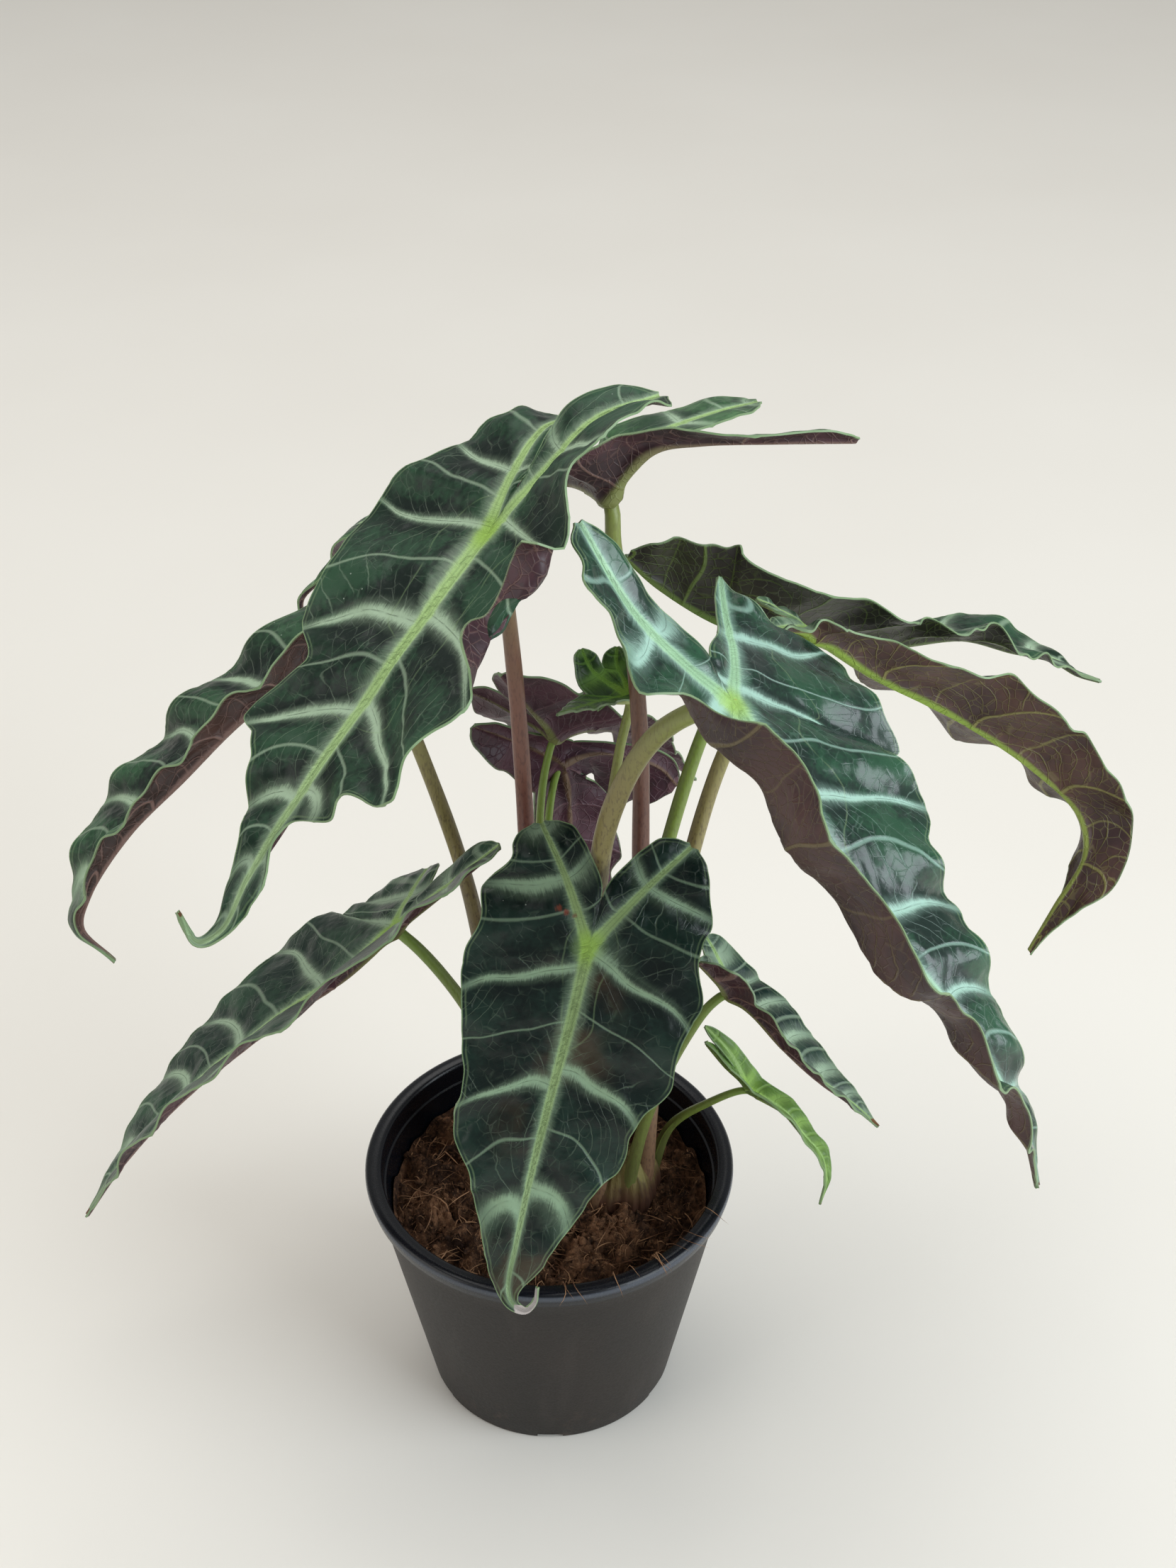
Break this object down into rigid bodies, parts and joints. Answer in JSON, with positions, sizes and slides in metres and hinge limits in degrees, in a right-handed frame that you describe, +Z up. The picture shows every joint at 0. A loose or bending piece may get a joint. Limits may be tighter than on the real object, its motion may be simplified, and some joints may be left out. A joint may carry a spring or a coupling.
{
  "type": "potted alocasia plant",
  "caption": "Alocasia house plant with arrow-shaped dark green leaves, pale veins and purple undersides on long stalks, growing from soil in a round black plastic nursery pot.",
  "frame": {"origin": "on the pot's axis, at the level of the surface that the pot stands on", "axes": "+Z up along the pot's axis, -Y towards the front of the pot, +X to the right seen from the front"},
  "size_m": [0.46, 0.2976, 0.5114],
  "materials": {
    "pot": "satin",
    "soil": "matte",
    "blade": "satin",
    "stalk_red": "satin",
    "stalk_olive": "satin",
    "stalk_green": "satin",
    "crown": "matte"
  },
  "bodies": {
    "root": {"pot": "pot", "leaf_01_blade": "blade", "leaf_01_petiole": "stalk_red", "leaf_02_blade": "blade", "leaf_02_petiole": "stalk_olive", "leaf_03_blade": "blade", "leaf_03_petiole": "stalk_red", "leaf_04_blade": "blade", "leaf_04_petiole": "stalk_olive", "leaf_05_blade": "blade", "leaf_05_petiole": "stalk_green", "leaf_06_blade": "blade", "leaf_06_petiole": "stalk_olive", "leaf_07_blade": "blade", "leaf_07_petiole": "stalk_green", "leaf_08_blade": "blade", "leaf_08_petiole": "stalk_green", "leaf_09_blade": "blade", "leaf_09_petiole": "stalk_olive", "leaf_10_blade": "blade", "leaf_10_petiole": "stalk_green", "leaf_11_blade": "blade", "leaf_11_petiole": "stalk_green", "leaf_12_blade": "blade", "leaf_12_petiole": "stalk_green", "leaf_13_blade": "blade", "leaf_13_petiole": "stalk_green", "crown_left": "crown", "crown_right": "crown", "soil": "soil"}
  },
  "joints": []
}
